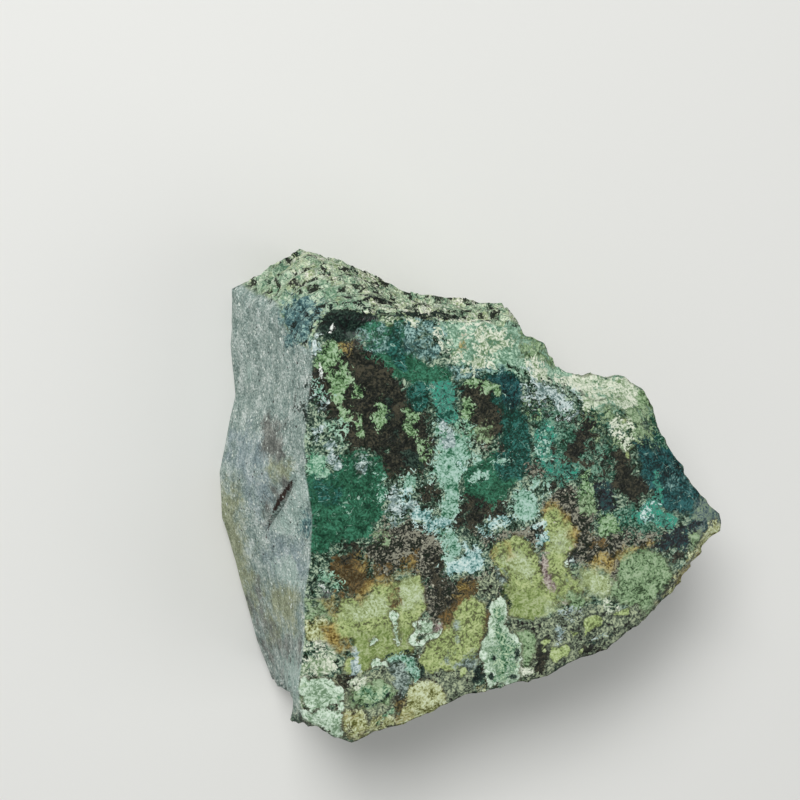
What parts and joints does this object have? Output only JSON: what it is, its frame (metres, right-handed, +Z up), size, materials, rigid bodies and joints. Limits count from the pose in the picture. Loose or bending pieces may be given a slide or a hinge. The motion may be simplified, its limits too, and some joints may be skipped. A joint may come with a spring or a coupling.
{
  "type": "jasper specimen",
  "caption": "Hand-sized chunk of green jasper with a broad cut face, a sawn side, a flat sawn back and a rough terraced rind.",
  "frame": {"origin": "middle of the footprint of the stone, on the resting plane of its sawn back", "axes": "+Z up, out of the broad cut face; -X towards the dull sawn side; +Y towards the rough rind"},
  "size_m": [0.08, 0.08, 0.0342],
  "materials": {
    "jasper": "cut face semi-polished, rind and broken sides rough"
  },
  "bodies": {
    "root": {"jasper_stone": "jasper"}
  },
  "joints": []
}
